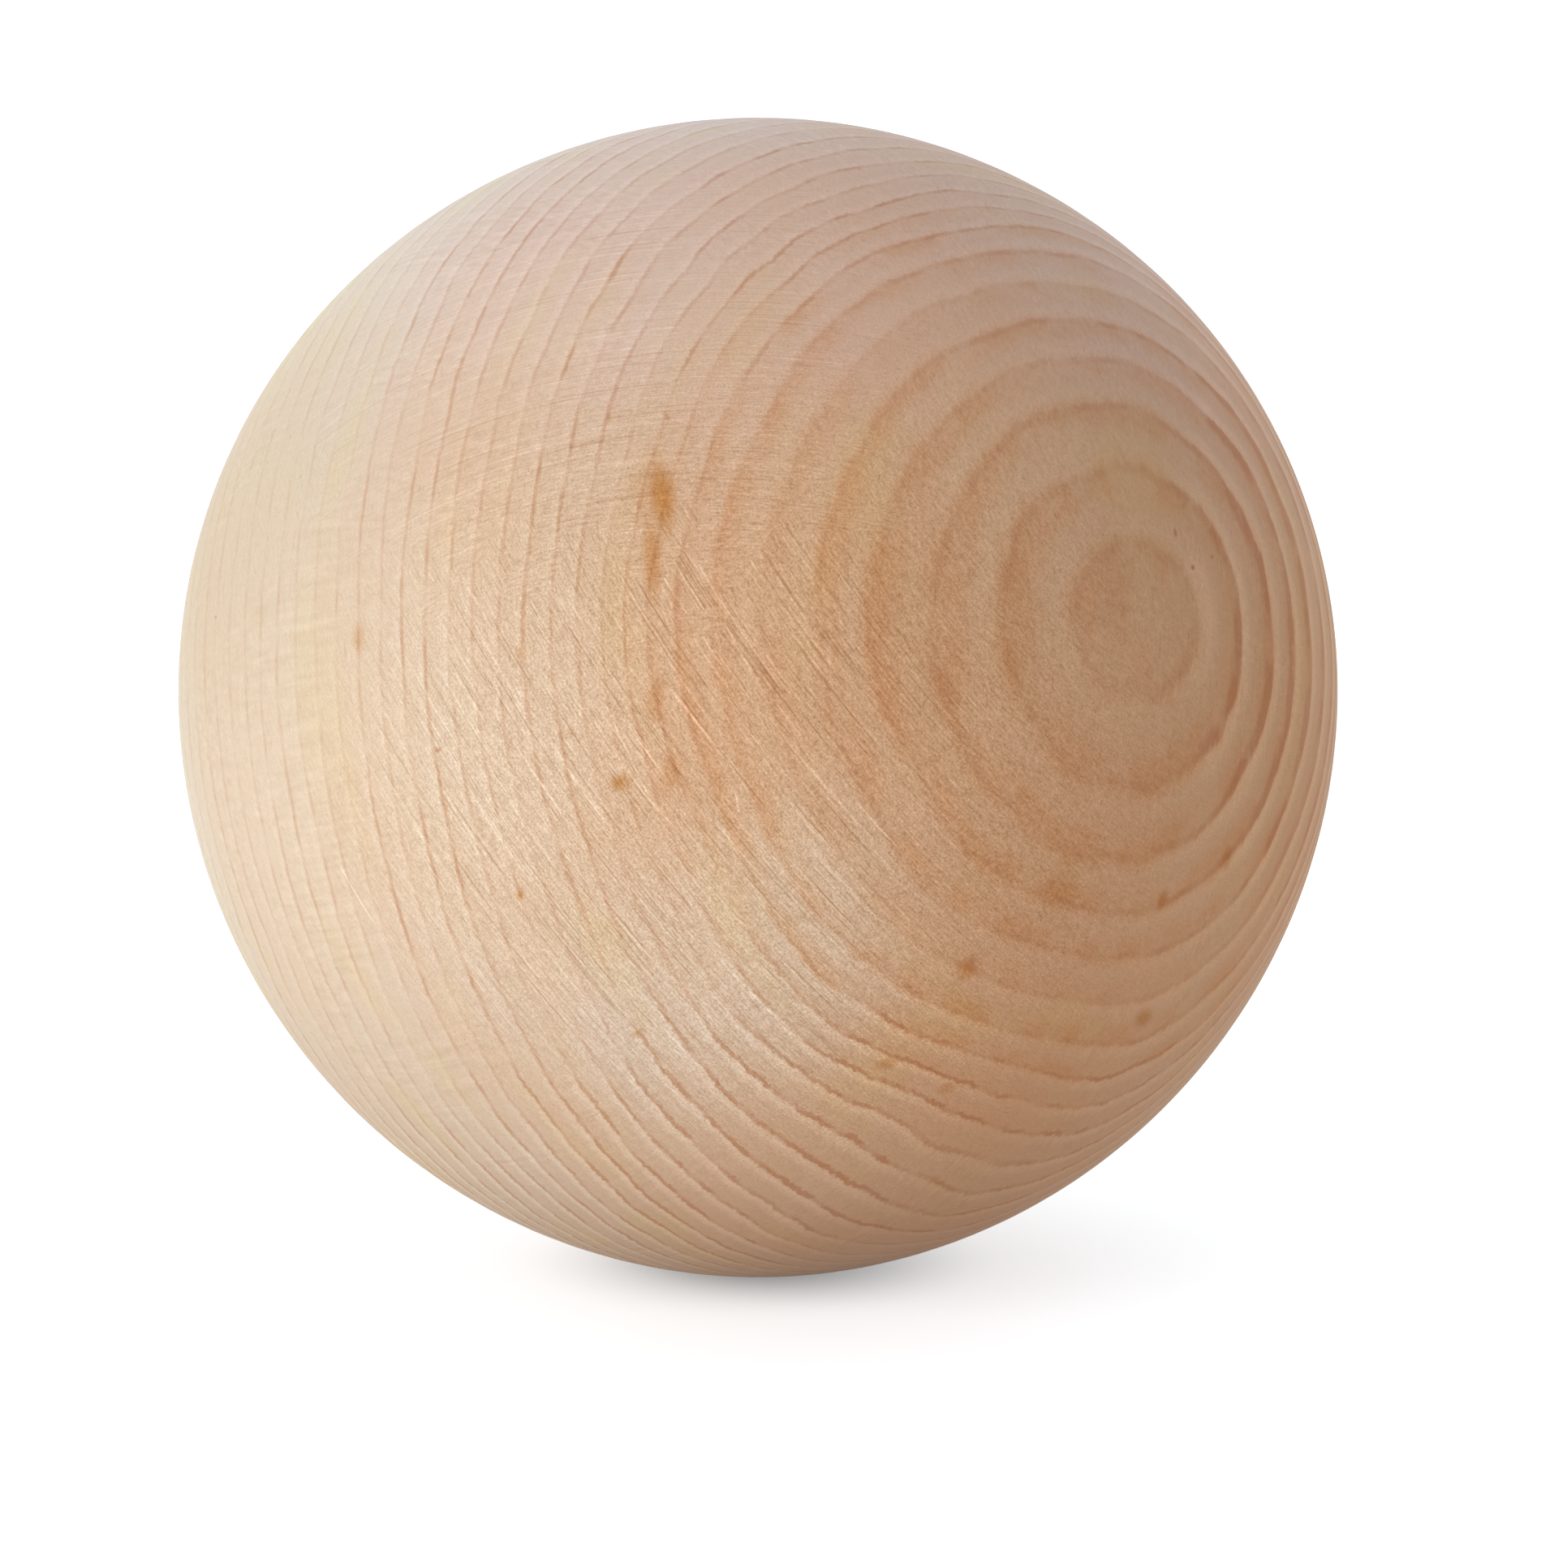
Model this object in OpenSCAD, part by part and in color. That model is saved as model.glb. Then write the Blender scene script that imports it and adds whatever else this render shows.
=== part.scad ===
// A solid wooden ball, turned and sanded from one piece of pale hardwood.
// The origin is the ball's centre and +Z is up, so the ball stands on z = -ball_d / 2.

/* [Ball] */
// Diameter of the finished ball
ball_d = 60; // [20:1:120]

/* [Smoothness] */
// Facets around the ball's equator
facets = 180; // [36:12:360]

/* [Hidden] */

// Bare, unfinished wood
pale_wood = [0.88, 0.77, 0.62];

// The whole ball: one true sphere, with no bore, flat or seam
module ball() {
    color(pale_wood)
        sphere(d = ball_d, $fn = facets);
}

ball();
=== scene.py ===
"""A pale wooden ball, turned from one piece and sanded, standing on a plain pale floor.

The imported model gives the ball's place and size. The visual model is one dense mesh, very slightly out
of round, and its material is a solid wood: every pattern is worked out from the place inside the ball,
so the rings run through it and meet the surface as they do on a real turned ball.

Places inside the ball are in millimetres from its centre, along three grain directions:
ACROSS, along the growth rings; FIBRE, along the trunk; TO_PITH, towards the middle of the trunk.
A name that ends in _MM is in millimetres. Blender's own lengths are in metres.
A side of the ball is given by its azimuth, from the front towards the right, its elevation, and how far
it reaches, all in degrees.
"""
import math
import bpy
import numpy as np
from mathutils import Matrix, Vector


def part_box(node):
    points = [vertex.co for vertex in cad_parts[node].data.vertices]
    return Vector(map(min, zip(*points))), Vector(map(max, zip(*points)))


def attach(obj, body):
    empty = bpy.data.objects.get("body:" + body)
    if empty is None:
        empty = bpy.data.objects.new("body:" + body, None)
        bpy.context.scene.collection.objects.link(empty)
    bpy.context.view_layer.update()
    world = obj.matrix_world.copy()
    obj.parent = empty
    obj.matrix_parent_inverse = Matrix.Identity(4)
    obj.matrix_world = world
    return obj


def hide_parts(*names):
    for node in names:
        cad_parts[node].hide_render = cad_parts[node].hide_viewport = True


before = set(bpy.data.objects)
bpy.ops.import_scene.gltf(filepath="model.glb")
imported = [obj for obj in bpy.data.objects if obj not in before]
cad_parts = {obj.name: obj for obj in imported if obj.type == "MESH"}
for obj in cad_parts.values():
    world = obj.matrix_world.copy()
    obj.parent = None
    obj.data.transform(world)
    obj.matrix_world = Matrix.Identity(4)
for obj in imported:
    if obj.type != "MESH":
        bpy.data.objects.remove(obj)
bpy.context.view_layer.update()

SEED = 7
MM = 0.001
WHITE = (1.0, 1.0, 1.0)

# ---- the ball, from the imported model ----
BALL_LOW, BALL_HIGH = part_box("ball")
CENTRE = (BALL_LOW + BALL_HIGH) / 2
RADIUS = (BALL_HIGH.z - BALL_LOW.z) / 2
RADIUS_MM = RADIUS / MM
FLOOR_Z = BALL_LOW.z

# ---- the ball's mesh ----
FACE_STEPS = 128  # squares along each side of the cube that the sphere is made from
LOBES = 0.003  # how far out of round the ball is, over its radius
RING_RELIEF_MM = 0.006  # how far the end of each year lies below its middle
BAKE_GAP = 0.004  # the margin round each cell of the bake map

# ---- the camera: a long lens, a little above the ball ----
CAMERA_AZIMUTH, CAMERA_ELEVATION = 0.0, 12.0
CAMERA_DISTANCE = 1.0
SENSOR = 36.0  # the sensor's width, which Blender takes in millimetres
BALL_SHARE = 0.7422  # the ball's width over the frame's
SHIFT_RIGHT, SHIFT_UP = 0.0163, -0.0564

# ---- light: name, azimuth and elevation it comes from, width in degrees, strength, colour ----
LAMPS = (
    ("key", -52, 5, 50, 3.40, (1.0, 0.99, 0.97)),
    ("back", 175, 45, 110, 1.27, (0.90, 0.98, 1.0)),
)
WORLD_LIGHT = (0.34, 0.36, 0.40)

# ---- the floor ----
FLOOR_HALF = 20.0  # half the floor's width
FLOOR_WHITE = (0.65, 0.70, 0.75)  # the colour that the camera sees
FLOOR_BOUNCE = (0.65, 0.40, 0.23)  # the colour that throws light back on the ball
FLOOR_FILL = (0.285, 0.265, 0.235)  # the light that the floor itself adds to the ball
FLOOR_GLOW, PAINTED_SHADOW_GLOW = 0.66, 0.19  # what the camera sees added to the lit floor, far away, and at the foot, where it is less for a painted shadow
PAINTED_SHADOW_REACH, FILL_REACH = 0.013, 0.070  # how far from the foot the glow is held down for the painted shadow, and how far the fill is held down

# ---- how the ball lay in the trunk ----
PITH_AZIMUTH, PITH_ELEVATION = 41.4, 16.9
FIBRE_LEAN = 14.3  # the fibre leans this far to the right, seen from the pith
PITH_MM = 97.8  # from the ball's centre to the middle of the trunk

# ---- growth rings ----
RING_MM = 1.515
FIRST_RING_MM = 26.94  # the depth of the innermost strong ring, towards the pith
WIDE_YEARS = (19.2, 3.6, 0.9)  # a run of wide rings: its depth, its half width, how far it shifts the rest
# Where the layers swell: (across, along the fibre, towards the pith), how much, how wide
SWELLS = (
    ((-23.0, -2.0, 22.0), 1.3, 9.5),
    ((4.0, -26.0, 7.5), 3.4, 12.8),
    ((-1.0, -23.0, 17.0), -3.3, 11.2),
    ((-3.5, 19.5, 17.0), -2.85, 13.5),
    ((1.0, 0.5, 29.9), 1.0, 5.0),
)
WANDER_MM = 0.65  # how far the rings wander
RAGGED_MM, RAGGED_FOOT_MM = 0.26, 0.18  # how ragged their edges are, and what the foot adds to it
# Strengths: where each starts, and what is added to it where its pattern is fullest
LINE_FAINT, BAND_BLOTCHED, YEAR_STRENGTH = (0.25, 1.3), (0.20, 0.95), (0.6, 0.8)
LINE_STRENGTH, BAND_STRENGTH = (0.66, -0.30), (0.08, 0.72)  # the inner rings are where it is added
INNER_RINGS = (8.0, 3.5)  # the ring numbers between which the inner rings begin
# Parts of a year, 0 to 1: where the line and the band rise to its end and fall after its start
LINE_RISE, LINE_FALL, LINE_RISE_STREAKY = (0.86, 0.985), (0.12, 0.0), 0.26
BAND_RISE, BAND_FALL = (0.38, 0.86), (0.30, 0.0)
PALE_RISE, PALE_FALL = (0.04, 0.12), (0.50, 0.15)
PALE_FROM, PALE_MOST = 0.4, 1.2  # the firmness at which the pale first wood begins, and its most
FIRM = 0.54  # how firmly the dark lines are drawn over most of the ball, and what each side adds
FIRM_LEFT, FIRM_RIGHT, FIRM_TOP, FIRM_FOOT, FIRM_STREAKY = 0.25, 0.5, 0.3, 1.4, 2.0
STREAKY_SIDE = (80.0, 8.0, 36.0)
FADED_SIDE = (-80.0, 20.0, 52.0)
FADING = 0.5

# ---- where the colours change, in mm: the depth, or the height in the trunk, and the wander ----
AMBER_DEPTH, TOP_LIGHT_DEPTH, DEPTH_WANDER = (-9.0, 26.0), (-14.0, 6.0), 16.0
TOP_LIGHT_HEIGHT, ASH_HEIGHT, HEIGHT_WANDER = (0.0, 22.0), (-10.0, -26.0), 20.0

# ---- patterns in the wood: their sizes in mm, across, along the fibre and towards the pith ----
COMB_MM = (0.30, 5.0, 0.9)  # the ragged edges of the rings
SWAY_MM = (3.5, 9.0, 3.5)  # the wander of the rings
BLOTCH_MM = (2.6, 6.0, 1.8)  # where the amber bands come and go
FAINT_MM = (1.6, 2.8, 1.6)  # where the dark lines come and go
DRIFT_MM = (14.0, 30.0, 10.0)  # where cream turns to amber
PATCH_MM = (6.0, 14.0, 4.0)  # where the painted top light and the ashen tint begin
STRAW_MM = (7.0, 25.0, 3.0)
RAY_MM, RAY_GROUP_MM = (0.25, 0.40, 3.5), (3.0, 7.0, 9.0)
PORE_MM = (0.13, 1.6, 0.13)
FIBRE_MM = (0.16, 1.4, 0.16)
# the speckle: partly sanded wood, partly painted glints
GRIT_AND_GLINT_MM = (0.11, 0.11, 0.11)

# ---- the wood's colours, as linear red, green and blue, and the tints that multiply them, some of them painted light and shade ----
# Cream and amber: partly the wood's colour, partly painted light and shade, paler cream on the lit left and
# deeper amber on the shaded right
CREAM = (0.685, 0.600, 0.482)
AMBER = (0.662, 0.433, 0.270)
# painted cool light and grazing reflection from above: rosier and bluer towards the top
PAINTED_TOP_LIGHT_TINT = (1.01, 0.98, 1.10)
# paler and cooler towards the bottom of the ball
ASH_TINT = (0.99, 1.03, 1.09)
STRAW_TINT = (1.0, 1.01, 0.92)
LATEWOOD_TINT = (0.84, 0.68, 0.59)
BAND_TINT = (0.96, 0.86, 0.77)
# darker tint of the painted shade on the upper left
PAINTED_SHADE_TINT = (0.93, 0.90, 0.85)
# whitish tint of pale wood, of a painted reflection and of a painted sheen
PALE_AND_SHEEN_TINT = (1.06, 1.25, 1.45)
PORE_TINT = (0.86, 0.78, 0.70)
FLECK_TINT = (0.78, 0.54, 0.27)
STAIN_TINT = (0.75, 0.42, 0.30)

# ---- how much lighter or darker each pattern makes the wood ----
SHADE_SHARES = (0.7, 1.0, 1.3)  # how far red, green and blue each move
PORE_SHARE = 0.7
FIBRE_SHADE, RAY_SHADE = 0.16, 0.25
STROKE_SHADE, GRIT_AND_GLINT_SHADE = 0.75, 0.85  # on the worn side, where the speckle is partly painted glints
LINE_SHADE, CUT_SHADE, PALE_SHADE, BURR_SHADE = 0.38, 0.46, 0.18, 0.06

# ---- the surface ----
ROUGH, ROUGH_FIBRE, ROUGH_STROKE, ROUGH_LINE = 0.50, 0.14, 0.06, -0.05
SPECULAR = 0.08
STROKE_RELIEF_MM, LINE_RELIEF_MM = 0.010, 0.008

# ---- sanding marks: their width and length in mm, and where they show ----
STROKE_MM, LINE_MM = (0.10, 0.6), (0.10, 8.0)
SANDING_AXIS = np.array((0.768, -0.178, 0.616))  # they run round this axis over most of the ball
LEVEL_AXIS = np.array((0.046, 0.844, 0.534))  # and round this one, level, across the upper left
LEVEL_SIDE = (-25.0, 55.0, 50.0)
LEVEL_EDGE, LEVEL_EDGE_MM, LEVEL_EDGE_RAGGED = 0.55, (3.0, 3.0, 3.0), 1.2
# the worn side, which faces the front: stronger sanding marks and speckle there, partly painted glints
WORN_AND_GLINT_SIDE = (1.0, 4.0, 54.0)
WORN_AND_GLINT_STRENGTH = (0.26, 0.92)  # over most of the ball, and what the middle of the worn side adds, where glints are painted into the speckle
SCORED_SIDE, LEVEL_SCORED_SIDE = (-9.0, 2.0, 42.0), (-24.0, 42.0, 45.0)
LEVEL_SCORED = 0.45

# ---- marks: azimuth, elevation, half width and half length in mm, strength ----
PITH_FLECKS = (
    (-10.8, 31.6, 0.58, 2.4, 1.0),
    (-11.2, 25.5, 0.42, 2.6, 0.8),
    (-11.7, 31.5, 1.15, 2.8, 0.45),
    (17.0, 21.0, 3.0, 7.0, 0.20),
    (-20.0, 30.0, 5.0, 8.0, 0.18),
    (-10.0, 11.2, 0.35, 1.2, 0.5),
    (-13.3, 3.3, 0.36, 0.42, 0.9),
    (-44.1, 14.3, 0.25, 0.8, 0.45),
    (-8.4, 4.2, 0.45, 1.1, 0.5),
    (-24.2, 15.1, 0.22, 0.6, 0.45),
    (31.1, -8.8, 1.0, 1.3, 0.35),
    (-23.8, -8.9, 0.15, 0.5, 0.9),
    (-12.6, -23.0, 0.22, 0.35, 0.6),
    (-18.8, 39.5, 0.15, 0.5, 0.5),
    (-11.3, 39.8, 0.12, 0.4, 0.5),
    (-44.0, 13.7, 0.15, 0.6, 0.4),
    (21.6, -16.3, 0.60, 0.6, 0.7),
    (46.6, -25.2, 0.70, 0.5, 0.7),
    (21.9, -30.3, 0.50, 0.3, 0.5),
    (14.1, -26.6, 0.50, 0.3, 0.6),
    (44.4, -11.8, 0.35, 0.5, 0.7),
    (53.8, -9.1, 0.45, 0.6, 0.7),
    (39.8, 20.0, 1.40, 3.2, 0.30),
    (27.7, 18.5, 1.20, 4.0, 0.25),
    # on the sides that the photograph doesn't show
    (152.0, 18.0, 0.35, 1.6, 0.7),
    (-122.0, 28.0, 0.30, 1.8, 0.6),
    (104.0, 34.0, 0.25, 0.8, 0.7),
)
# Pale patches: some pale wood, and painted light: a painted reflection of the bright surroundings along the
# left edge and a painted sheen low on the front
PALE_AND_SHEEN_PATCHES = (
    (1.0, -13.0, 6.5, 8.0, 1.0),
    (-92.0, -9.0, 6.0, 16.0, 0.55),
    (52.0, -17.0, 8.0, 9.0, 0.35),
    (68.0, 50.0, 7.0, 8.0, 0.35),
)
# Painted shade: a darker patch on the upper left, where the lamp falls strongest
PAINTED_SHADE_PATCHES = (
    (-74.0, 22.0, 8.0, 12.0, 1.0),
)
STAINS = (
    (-50.1, -14.7, 0.10, 0.10, 1.0),
    (-32.6, 4.9, 0.14, 0.16, 1.0),
    (51.6, 20.2, 0.14, 0.15, 1.0),
    (50.5, 23.9, 0.14, 0.26, 0.7),
    (55.3, 20.7, 0.12, 0.12, 0.6),
    (-71.0, 11.8, 0.10, 0.10, 0.9),
)
SPOT_EDGE = (1.5, 0.2)  # where a mark begins and is at its strongest, over its half width or length
SCRATCH_END = 0.7  # where a scratch begins to fade, over its half length
# Long scratches: from azimuth, elevation; to azimuth, elevation; half width in mm; strength
SCRATCHES = (
    (-8.9, 12.8, -3.3, 6.3, 0.10, 1.0),
    (-3.3, 6.3, 0.2, 0.9, 0.08, 0.5),
    (-3.6, 19.2, 0.4, 12.6, 0.10, 0.8),
    (-15.7, 12.0, -10.2, 1.4, 0.07, 0.6),
    (-10.2, 1.4, -7.1, -1.8, 0.07, 0.6),
    (1.5, 20.1, 4.4, 16.7, 0.07, 0.6),
    (-2.2, 2.8, -1.8, 0.6, 0.09, 1.0),
    (-13.7, 5.5, -8.0, -1.1, 0.07, 0.5),
    (-46.0, -8.1, -41.9, -14.2, 0.08, 0.8),
    (3.8, 14.1, 12.6, 3.4, 0.06, 0.4),
)


# ---------------------------------------------------------------- directions
def direction(azimuth, elevation):
    """The unit vector at an azimuth from the front (-Y) towards the right (+X) and an elevation."""
    turn, rise = math.radians(azimuth), math.radians(elevation)
    level = math.cos(rise)
    return np.array((math.sin(turn) * level, -math.cos(turn) * level, math.sin(rise)))


def unit(vector):
    """The vector made one long."""
    return vector / np.linalg.norm(vector)


def grain_axes():
    """The unit vectors ACROSS, FIBRE and TO_PITH in the row frame, one to a row."""
    to_pith = direction(PITH_AZIMUTH, PITH_ELEVATION)
    right = unit(np.cross((0.0, 0.0, 1.0), to_pith))
    up = np.cross(to_pith, right)
    lean = math.radians(FIBRE_LEAN)
    fibre = math.cos(lean) * up + math.sin(lean) * right
    return np.stack((np.cross(fibre, to_pith), fibre, to_pith))


GRAIN_AXES = grain_axes()
TO_CAMERA = direction(CAMERA_AZIMUTH, CAMERA_ELEVATION)
CAMERA_RIGHT = direction(CAMERA_AZIMUTH + 90, 0)
CAMERA_UP = direction(CAMERA_AZIMUTH, CAMERA_ELEVATION + 90)


# ---------------------------------------------------------------- fields: numbers that vary through the wood
class Field:
    """A number or vector worked out at every place by shader nodes. A number takes part in arithmetic."""

    def __init__(self, socket):
        self.socket = socket

    def __add__(self, other):
        return calculate("ADD", self, other)

    def __radd__(self, other):
        return calculate("ADD", other, self)

    def __sub__(self, other):
        return calculate("SUBTRACT", self, other)

    def __rsub__(self, other):
        return calculate("SUBTRACT", other, self)

    def __mul__(self, other):
        return calculate("MULTIPLY", self, other)

    def __rmul__(self, other):
        return calculate("MULTIPLY", other, self)

    def __truediv__(self, other):
        return calculate("DIVIDE", self, other)

    def __neg__(self):
        return calculate("MULTIPLY", self, -1.0)


def tree_of(*values):
    """The node tree that the first Field among the values is in."""
    return next(v.socket.id_data for v in values if isinstance(v, Field))


def feed(socket, value):
    """Puts a Field or a plain value into an input socket."""
    if isinstance(value, Field):
        socket.id_data.links.new(value.socket, socket)
    else:
        socket.default_value = value


def calculate(operation, *values):
    """A Field from one or two values, by a Math node."""
    node = tree_of(*values).nodes.new("ShaderNodeMath")
    node.operation = operation
    for socket, value in zip(node.inputs, values):
        feed(socket, value)
    return Field(node.outputs[0])


def vector_step(operation, *values):
    """A Field from one or two vectors, by a Vector Math node."""
    node = tree_of(*values).nodes.new("ShaderNodeVectorMath")
    node.operation = operation
    for socket, value in zip(node.inputs, values):
        feed(socket, value)
    is_number = operation in ("DOT_PRODUCT", "LENGTH", "DISTANCE")
    return Field(node.outputs["Value" if is_number else "Vector"])


def along(place, axis):
    """How far a place lies along an axis."""
    return vector_step("DOT_PRODUCT", place, tuple(axis))


def root(x):
    """The square root of a Field or an array."""
    return calculate("SQRT", x) if isinstance(x, Field) else np.sqrt(x)


def bell(squared):
    """exp(-squared) of a Field or an array: 1 in the middle, falling to 0."""
    return calculate("EXPONENT", -squared) if isinstance(squared, Field) else np.exp(-squared)


def gap(place, point):
    """The distance from a point, of a vector Field or of each row of an array."""
    if isinstance(place, Field):
        return vector_step("DISTANCE", place, tuple(float(p) for p in point))
    return np.linalg.norm(place - np.array(point), axis=1)


def smooth(x, low, high, top=1.0):
    """0 below low, top above high, and a smooth step between; low may be the larger one."""
    node = tree_of(x).nodes.new("ShaderNodeMapRange")
    node.interpolation_type = "SMOOTHSTEP"
    feed(node.inputs["Value"], x)
    feed(node.inputs["From Min"], low)
    feed(node.inputs["From Max"], high)
    feed(node.inputs["To Max"], top)
    return Field(node.outputs["Result"])


def between(strength, amount):
    """Where a strength starts, with what is added to it as amount goes from 0 to 1."""
    start, added = strength
    return start + added * amount


def strongest(fields):
    """The largest of some Fields at each place."""
    total = fields[0]
    for other in fields[1:]:
        total = calculate("MAXIMUM", total, other)
    return total


def place_from(x, y, z):
    """A vector Field from three Fields."""
    node = tree_of(x, y, z).nodes.new("ShaderNodeCombineXYZ")
    for socket, value in zip(node.inputs, (x, y, z)):
        feed(socket, value)
    return Field(node.outputs[0])


def noise(place, sizes, seed, detail=2.0, roughness=0.5):
    """Smooth noise, about 0.5 in the middle, with features of these sizes along the axes of place."""
    scaled = vector_step("MULTIPLY", place, tuple(1 / s for s in sizes))
    moved = vector_step("ADD", scaled, (seed * 13.7, seed * 7.9, seed * 3.1))
    node = tree_of(place).nodes.new("ShaderNodeTexNoise")
    feed(node.inputs["Vector"], moved)
    node.inputs["Scale"].default_value = 1.0
    node.inputs["Detail"].default_value = detail
    node.inputs["Roughness"].default_value = roughness
    return Field(node.outputs[0])


def chance(number):
    """An even random Field between 0 and 1 for each whole number."""
    node = tree_of(number).nodes.new("ShaderNodeTexWhiteNoise")
    node.noise_dimensions = "1D"
    feed(node.inputs["W"], number)
    return Field(node.outputs["Value"])


def facing(place, azimuth, elevation, reach):
    """1 where the ball faces a direction, falling softly to 0 at reach degrees from it."""
    towards = along(place, direction(azimuth, elevation) / RADIUS_MM)
    return smooth(towards, math.cos(math.radians(reach)), 1.0)


# ---------------------------------------------------------------- colours
def blended(first, second, amount, blend="MIX"):
    """The colour or vector first, turning into second as amount goes from 0 to 1."""
    node = tree_of(first, second, amount).nodes.new("ShaderNodeMix")
    node.data_type = "RGBA"
    node.blend_type = blend
    feed(node.inputs[0], amount)
    feed(node.inputs[6], first if isinstance(first, Field) else (*first, 1.0))
    feed(node.inputs[7], second if isinstance(second, Field) else (*second, 1.0))
    return Field(node.outputs[2])


def tinted(colour, tint, amount):
    """colour multiplied by tint as far as amount says."""
    return blended(colour, tint, amount, "MULTIPLY")


def shaded(colour, change):
    """colour lighter, or darker where change is below 0. As in wood, blue moves most and red least."""
    return vector_step("MULTIPLY", colour, place_from(*[1.0 + share * change for share in SHADE_SHARES]))


# ---------------------------------------------------------------- growth rings, for mesh and material
def ring_depth(u, w, grain):
    """How far a place is from the bark side, in mm, larger towards the pith, with the layers' swells."""
    depth = PITH_MM - root((PITH_MM - w) * (PITH_MM - w) + u * u)
    for centre, height, width in SWELLS:
        off = gap(grain, centre) / width
        depth = depth + height * bell(off * off)
    return depth


def ring_number(depth):
    """Counts the rings from the innermost strong one outwards; a whole number is the end of a year."""
    middle, width, shift = WIDE_YEARS
    off = (depth - middle) / width
    return (FIRST_RING_MM - depth - shift * bell(off * off)) / RING_MM


# ---------------------------------------------------------------- the wood
def grain_place(tree):
    """The place in mm: in the row frame, as three numbers along the grain axes, and as their vector."""
    texture = tree.nodes.new("ShaderNodeTexCoord")
    place = vector_step("SCALE", Field(texture.outputs["Object"]))
    place.socket.node.inputs["Scale"].default_value = 1 / MM
    parts = [along(place, axis) for axis in GRAIN_AXES]
    return place, parts, place_from(*parts)


def ring_firmness(place, parts):
    """How firmly the dark lines are drawn, and how streaky they are (0 to 1)."""
    u, v, w = parts
    streaky = facing(place, *STREAKY_SIDE)
    left = smooth(u, -19.0, -27.0)
    right = smooth(w, -4.0, 12.0) * smooth(u, 1.0, 10.0)
    top = smooth(v, 8.0, 20.0)
    foot = smooth(v, -14.0, -26.0) * smooth(u, -22.0, -12.0) * (1.0 - 0.8 * smooth(u, -8.0, 2.0))
    firm = FIRM + FIRM_LEFT * left + FIRM_RIGHT * right + FIRM_STREAKY * streaky
    firm = firm + FIRM_TOP * top + FIRM_FOOT * foot
    return firm * (1.0 - FADING * facing(place, *FADED_SIDE)), streaky


def ring_shade(place, parts, grain):
    """How strong the dark line, amber band and pale first wood of each year are, with the depth."""
    u, v, w = parts
    comb = noise(grain, COMB_MM, SEED + 1, detail=3.0, roughness=0.6) - 0.5
    sway = noise(grain, SWAY_MM, SEED + 2, detail=1.0) - 0.5
    ragged = RAGGED_MM + RAGGED_FOOT_MM * smooth(v, -10.0, -24.0)
    depth = ring_depth(u, w, grain) + comb * ragged + sway * WANDER_MM
    number = ring_number(depth)
    year = calculate("FLOOR", number)
    part = number - year  # 0 at the start of the year's growth, 1 at its end
    inner = smooth(number, *INNER_RINGS)
    blotch = smooth(noise(grain, BLOTCH_MM, SEED + 12), 0.36, 0.62)
    faint = smooth(noise(grain, FAINT_MM, SEED + 15), 0.34, 0.66)
    band = between(BAND_STRENGTH, inner) * between(BAND_BLOTCHED, blotch)
    line = between(LINE_STRENGTH, inner) * between(LINE_FAINT, faint)
    coming = between(YEAR_STRENGTH, chance(year + 1.5))  # the strength of the ring at this year's end
    going = between(YEAR_STRENGTH, chance(year + 0.5))  # and of the one at its start
    firm, streaky = ring_firmness(place, parts)
    rise, full = LINE_RISE
    end = smooth(part, rise - LINE_RISE_STREAKY * streaky, full)
    dark = line * firm * (coming * end + going * smooth(part, *LINE_FALL))
    amber = band * (coming * smooth(part, *BAND_RISE) + going * smooth(part, *BAND_FALL))
    first_wood = smooth(part, *PALE_RISE) * smooth(part, *PALE_FALL)
    pale = first_wood * calculate("MINIMUM", firm - PALE_FROM, PALE_MOST)
    return dark, amber, pale, depth


def zone_colour(depth, height, grain):
    """Cream towards the bark and amber towards the pith, partly painted light and shade; rosier and bluer
    high up, a painted cool light from above; paler and cooler low down; with straw.
    """
    drift = noise(grain, DRIFT_MM, SEED + 3, detail=1.0)
    # partly painted shade: deeper amber on the shaded right
    colour = blended(CREAM, AMBER, smooth(depth + (drift - 0.5) * DEPTH_WANDER, *AMBER_DEPTH))
    level = height + (noise(grain, PATCH_MM, SEED + 4, detail=1.0) - 0.5) * HEIGHT_WANDER
    # the painted cool top light: rosier and bluer high up
    top_light = smooth(level, *TOP_LIGHT_HEIGHT) * smooth(depth, *TOP_LIGHT_DEPTH)
    straw = smooth(noise(grain, STRAW_MM, SEED + 5, detail=1.0), 0.52, 0.75)
    colour = tinted(colour, PAINTED_TOP_LIGHT_TINT, top_light)
    colour = tinted(colour, ASH_TINT, smooth(level, *ASH_HEIGHT))
    return tinted(colour, STRAW_TINT, straw)


def ray_flecks(grain):
    """Rays: thin ribbons that run towards the pith, seen as bars on the quarter-sawn sides."""
    ribbons = noise(grain, RAY_MM, SEED + 6, detail=1.0)
    groups = noise(grain, RAY_GROUP_MM, SEED + 7, detail=1.0)
    return (ribbons - 0.5) * smooth(groups, 0.38, 0.60)


def pores(grain):
    """Vessels: hair-thin tubes along the fibre, seen as dashes on the sides and dots on the ends."""
    return smooth(noise(grain, PORE_MM, SEED + 8, detail=1.0), 0.64, 0.80)


def fibres(grain):
    """The fine uneven brightness of the fibre, about 0.5 in the middle."""
    return noise(grain, FIBRE_MM, SEED + 9, detail=3.0, roughness=0.65)


def grit_and_glints(place):
    """The speckle of sanded wood, partly painted glints: fine light and dark dots, about 0 in the middle."""
    return noise(place, GRIT_AND_GLINT_MM, SEED + 14, detail=1.0, roughness=0.6) - 0.5


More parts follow.
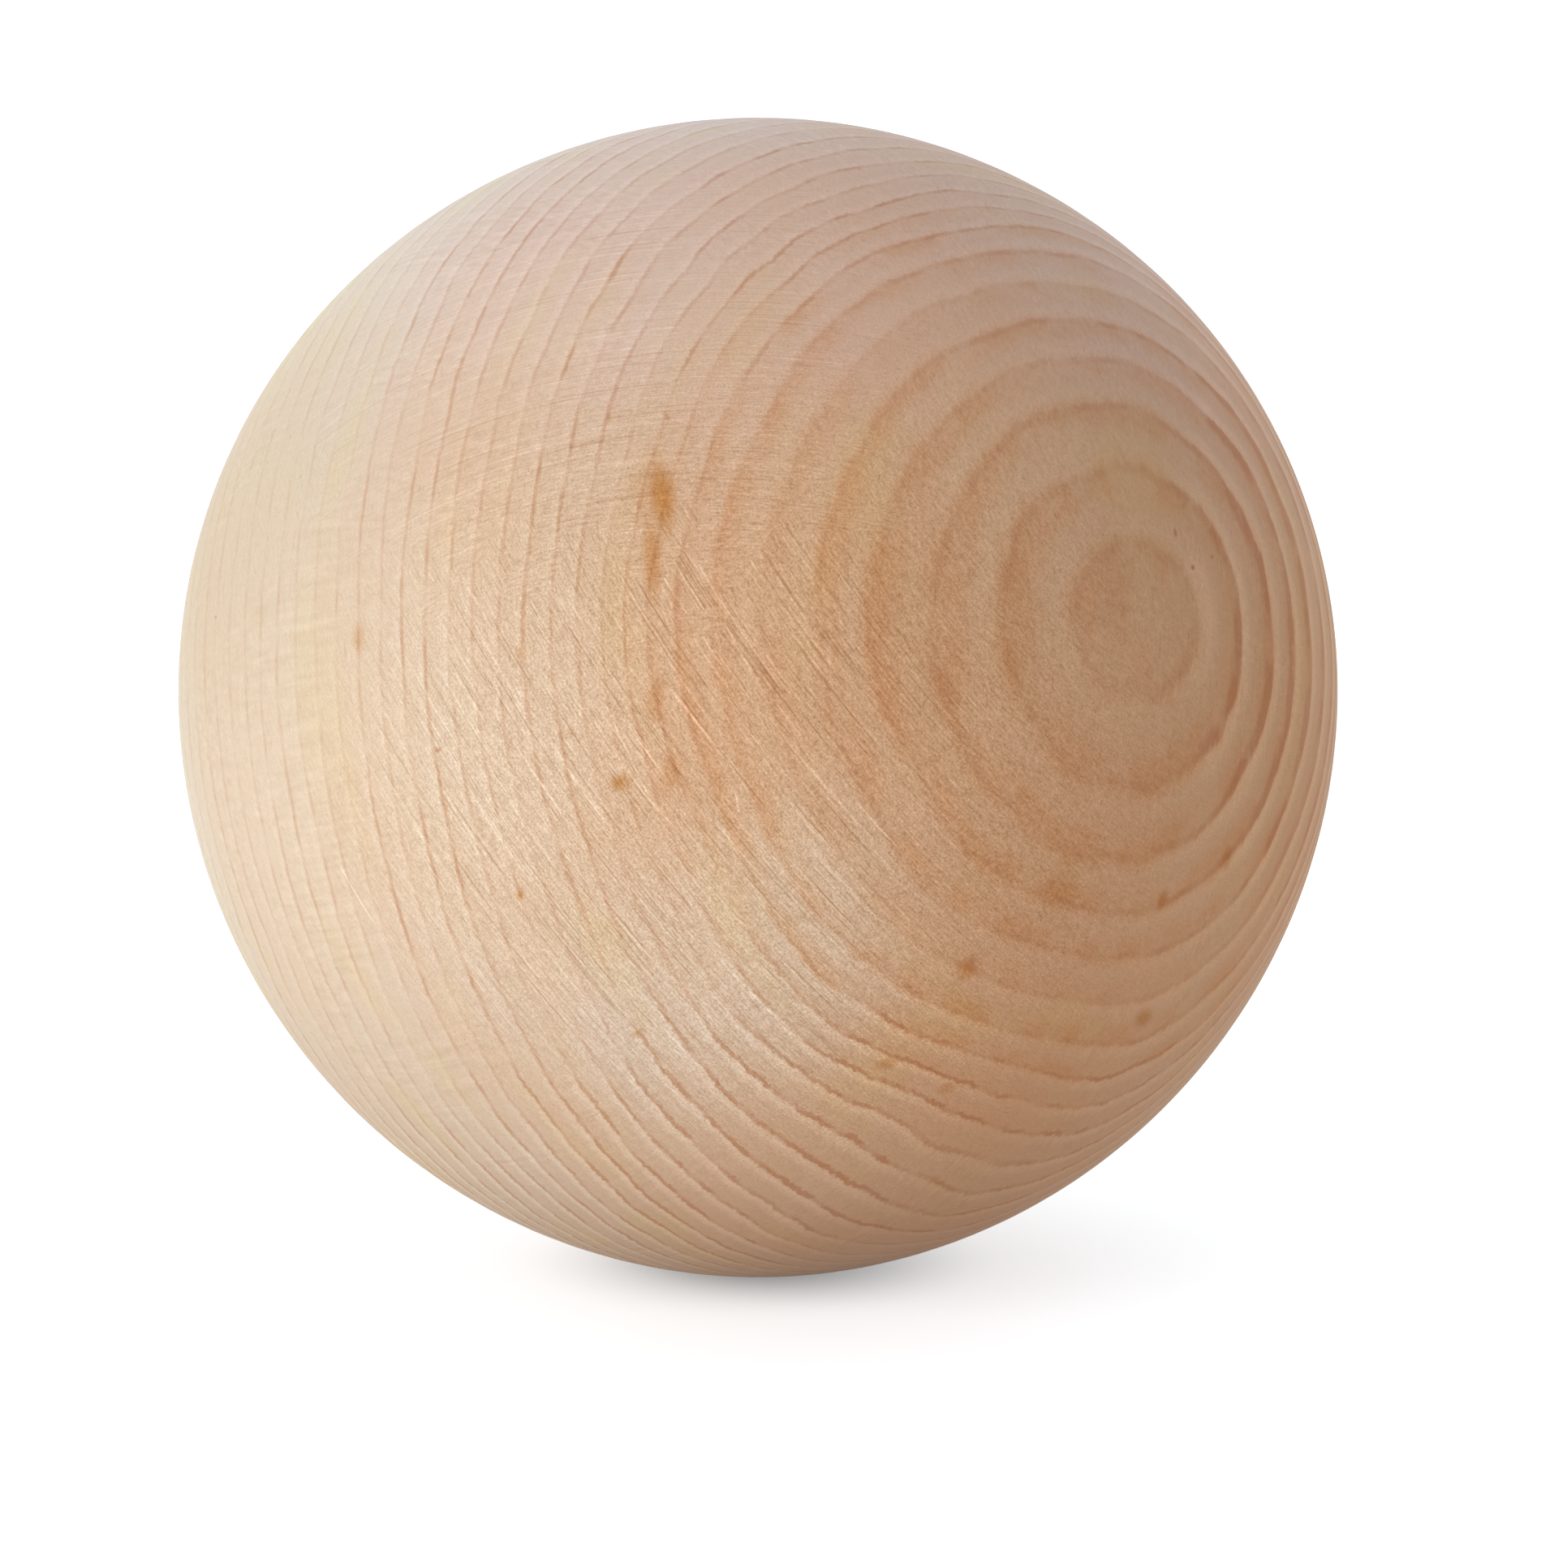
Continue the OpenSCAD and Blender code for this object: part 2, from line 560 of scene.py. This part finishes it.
def spots(grain, marks):
    """Soft-edged marks that lie along the fibre, at listed places; the strongest one counts."""
    fields = []
    for azimuth, elevation, half_width, half_length, strength in marks:
        size = np.array((half_width, half_length, half_width * 2))
        spot = GRAIN_AXES @ direction(azimuth, elevation) * RADIUS_MM
        scaled = vector_step("MULTIPLY", grain, tuple(1 / size))
        fields.append(smooth(gap(scaled, spot / size), *SPOT_EDGE, strength))
    return strongest(fields)


def scratches(place):
    """The few long scratches: up to 1 in the middle of each, 0 beside it."""
    fields = []
    for az0, el0, az1, el1, half_width, strength in SCRATCHES:
        start, end = direction(az0, el0), direction(az1, el1)
        middle = unit(start + end)
        half_length = float(np.linalg.norm(end - start)) / 2 * RADIUS_MM
        beside = calculate("ABSOLUTE", along(place, np.cross(middle, unit(end - start))))
        groove = smooth(beside, half_width, 0.0, strength)
        ends = smooth(gap(place, middle * RADIUS_MM), half_length, half_length * SCRATCH_END)
        fields.append(groove * ends)
    return strongest(fields)


def turned_to(place, axis):
    """The same place measured along an axis and two directions square to it."""
    side = unit(np.cross(axis, (0.0, 0.0, 1.0)))
    return place_from(*[along(place, a) for a in (axis, side, np.cross(axis, side))])


def sanding_place(place):
    """The place along the axis that the sanding marks run round, and whether it's LEVEL_AXIS (0 or 1)."""
    ragged = noise(place, LEVEL_EDGE_MM, SEED + 13, detail=0.0) - 0.5
    edge = facing(place, *LEVEL_SIDE) + LEVEL_EDGE_RAGGED * ragged
    level = calculate("GREATER_THAN", edge, LEVEL_EDGE)
    return blended(turned_to(place, SANDING_AXIS), turned_to(place, LEVEL_AXIS), level), level


def strokes(turned, size, seed):
    """Sanding marks: noise about 0.5 in the middle, whose size is a width and a length in mm."""
    width, length = size
    return noise(turned, (width, length, length), seed, roughness=0.6)


def two_sided(marks):
    """Keeps only the strongest marks: up to 1 for the bright ones and down to -1 for the dark ones."""
    return smooth(marks, 0.56, 0.72) - smooth(marks, 0.44, 0.28)


def sanding(place):
    """The short sanding marks all over the ball, and the long ones on the sides where they show."""
    turned, level = sanding_place(place)
    short = strokes(turned, STROKE_MM, SEED + 10) - 0.5
    scored = facing(place, *SCORED_SIDE) * (1.0 - level)
    scored = scored + LEVEL_SCORED * level * facing(place, *LEVEL_SCORED_SIDE)
    return short, two_sided(strokes(turned, LINE_MM, SEED + 11)) * scored


def wood_material():
    """Bare sanded wood: colour with some painted light and shade in it, roughness and a very shallow relief.
    """
    material = bpy.data.materials.new("bare_wood")
    material.use_nodes = True
    tree = material.node_tree
    shader = tree.nodes["Principled BSDF"]
    place, parts, grain = grain_place(tree)
    dark, amber, pale, depth = ring_shade(place, parts, grain)

    colour = zone_colour(depth, parts[1], grain)
    for tint, amount in (
        (PALE_AND_SHEEN_TINT, spots(grain, PALE_AND_SHEEN_PATCHES)),
        (PAINTED_SHADE_TINT, spots(grain, PAINTED_SHADE_PATCHES)),
        (BAND_TINT, amber),
        (LATEWOOD_TINT, dark),
        (PORE_TINT, pores(grain) * PORE_SHARE),
        (FLECK_TINT, spots(grain, PITH_FLECKS)),
        (STAIN_TINT, spots(grain, STAINS)),
    ):
        colour = tinted(colour, tint, amount)
    fibre = fibres(grain)
    speckle = grit_and_glints(place)
    short, lines = sanding(place)
    worn_and_glint = between(WORN_AND_GLINT_STRENGTH, facing(place, *WORN_AND_GLINT_SIDE))
    burr = pale * smooth(speckle, 0.05, 0.16)
    change = FIBRE_SHADE * (fibre - 0.5) + RAY_SHADE * ray_flecks(grain)
    colour = shaded(colour, change + worn_and_glint * (STROKE_SHADE * short + GRIT_AND_GLINT_SHADE * speckle))
    change = LINE_SHADE * lines + CUT_SHADE * scratches(place)
    colour = shaded(colour, change + PALE_SHADE * pale + BURR_SHADE * burr)

    bump = tree.nodes.new("ShaderNodeBump")
    bump.inputs["Distance"].default_value = MM
    feed(bump.inputs["Height"], STROKE_RELIEF_MM * worn_and_glint * short + LINE_RELIEF_MM * lines)
    tree.links.new(bump.outputs["Normal"], shader.inputs["Normal"])
    feed(shader.inputs["Base Color"], colour)
    rough = ROUGH + ROUGH_FIBRE * fibre + ROUGH_LINE * dark + ROUGH_STROKE * short
    feed(shader.inputs["Roughness"], rough)
    shader.inputs["Specular IOR Level"].default_value = SPECULAR
    return material


# ---------------------------------------------------------------- the ball's mesh
def cube_sphere(steps):
    """Points and quads of a unit sphere made from a cube's faces, with each corner's place on its face."""
    angle = np.linspace(-math.pi / 4, math.pi / 4, steps + 1)
    side = np.tan(angle)
    a, b = np.meshgrid(side, side, indexing="ij")
    one = np.ones_like(a)
    faces = [(one, a, b), (-one, -a, b), (-a, one, b), (a, -one, b), (-b, a, one), (b, a, -one)]
    index = np.arange((steps + 1) ** 2).reshape(steps + 1, steps + 1)
    corners = (index[:-1, :-1], index[1:, :-1], index[1:, 1:], index[:-1, 1:])
    quads = np.stack(corners, -1).reshape(-1, 4)
    share = np.linspace(0, 1, steps + 1)
    s, t = np.meshgrid(share, share, indexing="ij")
    on_face = np.stack([s.ravel(), t.ravel()], -1)
    points, all_quads, maps = [], [], []
    for number, xyz in enumerate(faces):
        grid = np.stack([c.ravel() for c in xyz], -1)
        points.append(grid / np.linalg.norm(grid, axis=1, keepdims=True))
        all_quads.append(quads + number * len(grid))
        maps.append((number, on_face[quads]))
    return np.concatenate(points), np.concatenate(all_quads), maps


def merged(points, quads):
    """The same mesh with the vertices that the cube's faces share made one."""
    keys = np.round(points * 1e6).astype(np.int64)
    _, first, inverse = np.unique(keys, axis=0, return_index=True, return_inverse=True)
    return points[first], inverse.reshape(-1)[quads]


def ball_radius(points):
    """The distance from the centre in each direction: three very shallow lobes and the rings' relief."""
    right, up = points @ CAMERA_RIGHT, points @ CAMERA_UP
    lobes = 3 * right**2 * up - up**3
    grain = points @ GRAIN_AXES.T * RADIUS_MM
    number = ring_number(ring_depth(grain[:, 0], grain[:, 2], grain))
    relief = RING_RELIEF_MM * MM * (0.5 + 0.5 * np.cos(2 * math.pi * number))
    return RADIUS * (1 - LOBES + LOBES * lobes) - relief


def add_bake_map(mesh, maps):
    """A map with no overlaps, named OFBake, with one cell for each of the cube's faces."""
    layer = mesh.uv_layers.new(name="OFBake", do_init=False)
    columns, rows = 3, 2
    size = np.array((1 / columns - 2 * BAKE_GAP, 1 / rows - 2 * BAKE_GAP))
    cells = []
    for number, on_face in maps:
        corner = np.array((number % columns / columns + BAKE_GAP, number // columns / rows + BAKE_GAP))
        cells.append(corner + on_face * size)
    layer.uv.foreach_set("vector", np.concatenate(cells).astype(np.float32).ravel())


def make_ball():
    """The visual ball: a dense sphere of quads in the CAD ball's place."""
    points, quads, maps = cube_sphere(FACE_STEPS)
    points, quads = merged(points, quads)
    points = points / np.linalg.norm(points, axis=1, keepdims=True)
    places = np.array(CENTRE) + points * ball_radius(points)[:, None]
    mesh = bpy.data.meshes.new("wooden_ball")
    mesh.from_pydata(places.tolist(), [], quads.tolist())
    add_bake_map(mesh, maps)
    mesh.shade_smooth()
    mesh.materials.append(wood_material())
    ball = bpy.data.objects.new("wooden_ball", mesh)
    bpy.context.scene.collection.objects.link(ball)
    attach(ball, "root")
    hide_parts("ball")


# ---------------------------------------------------------------- camera, light and floor
def make_camera():
    """The photograph's view: the ball's centre straight ahead, moved in the frame by the shift."""
    data = bpy.data.cameras.new("camera")
    data.sensor_fit = "HORIZONTAL"
    data.sensor_width = SENSOR
    edge = RADIUS / math.sqrt(CAMERA_DISTANCE**2 - RADIUS**2)  # the ball's outline, one metre ahead
    data.lens = SENSOR * BALL_SHARE / (2 * edge)
    data.shift_x, data.shift_y = SHIFT_RIGHT, SHIFT_UP
    data.clip_end = 100.0
    camera = bpy.data.objects.new("camera", data)
    camera.location = CENTRE + Vector(TO_CAMERA) * CAMERA_DISTANCE
    camera.rotation_euler = (math.radians(90 - CAMERA_ELEVATION), 0, math.radians(CAMERA_AZIMUTH))
    bpy.context.scene.collection.objects.link(camera)
    bpy.context.scene.camera = camera


def make_lamps():
    """Wide, soft, distant lamps, so that the whole floor is lit alike."""
    for name, azimuth, elevation, width, strength, colour in LAMPS:
        data = bpy.data.lights.new(name, "SUN")
        data.energy, data.color = strength, colour
        data.angle = math.radians(width)
        lamp = bpy.data.objects.new(name, data)
        lamp.rotation_mode = "QUATERNION"
        lamp.rotation_quaternion = Vector(direction(azimuth, elevation)).to_track_quat("Z", "Y")
        bpy.context.scene.collection.objects.link(lamp)


def shown_ray(tree):
    """1 where the camera sees a surface, straight or reflected or through glass, and 0 for other light."""
    path = tree.nodes.new("ShaderNodeLightPath")
    kinds = ("Is Camera Ray", "Is Glossy Ray", "Is Transmission Ray")
    return strongest([Field(path.outputs[kind]) for kind in kinds])


def make_world():
    """White behind the ball, and a dim even light on it."""
    world = bpy.data.worlds.new("studio")
    bpy.context.scene.world = world
    world.use_nodes = True
    tree = world.node_tree
    background = tree.nodes["Background"]
    feed(background.inputs["Color"], blended(WORLD_LIGHT, WHITE, shown_ray(tree)))
    background.inputs["Strength"].default_value = 1.0


def floor_material():
    """White to the camera, with the ball's shadow and a painted shadow at its foot, and a warm mid tone for
    the light it throws back.
    """
    material = bpy.data.materials.new("floor")
    material.use_nodes = True
    tree = material.node_tree
    tree.nodes.clear()
    seen = shown_ray(tree)
    diffuse = tree.nodes.new("ShaderNodeBsdfDiffuse")
    feed(diffuse.inputs["Color"], blended(FLOOR_BOUNCE, FLOOR_WHITE, seen))
    texture = tree.nodes.new("ShaderNodeTexCoord")
    away = gap(Field(texture.outputs["Object"]), (0.0, 0.0, FLOOR_Z))
    # less glow near the foot: a painted shadow, darker than the lit one
    shown_glow_with_painted_shadow = PAINTED_SHADOW_GLOW + (FLOOR_GLOW - PAINTED_SHADOW_GLOW) * smooth(away, 0.0, PAINTED_SHADOW_REACH)
    fill = smooth(away, 0.0, FILL_REACH)
    glow = tree.nodes.new("ShaderNodeEmission")
    feed(glow.inputs["Strength"], seen * shown_glow_with_painted_shadow + (1.0 - seen) * fill)
    feed(glow.inputs["Color"], blended(FLOOR_FILL, WHITE, seen))
    both = tree.nodes.new("ShaderNodeAddShader")
    output = tree.nodes.new("ShaderNodeOutputMaterial")
    tree.links.new(diffuse.outputs[0], both.inputs[0])
    tree.links.new(glow.outputs[0], both.inputs[1])
    tree.links.new(both.outputs[0], output.inputs["Surface"])
    return material


def make_floor():
    """A plain pale floor at the foot of the ball."""
    square = ((-1, -1), (1, -1), (1, 1), (-1, 1))
    corners = [(x * FLOOR_HALF, y * FLOOR_HALF, FLOOR_Z) for x, y in square]
    mesh = bpy.data.meshes.new("floor")
    mesh.from_pydata(corners, [], [(0, 1, 2, 3)])
    mesh.materials.append(floor_material())
    floor = bpy.data.objects.new("floor", mesh)
    bpy.context.scene.collection.objects.link(floor)


make_camera()
make_ball()
make_lamps()
make_world()
make_floor()
bpy.context.scene.view_settings.view_transform = "Standard"
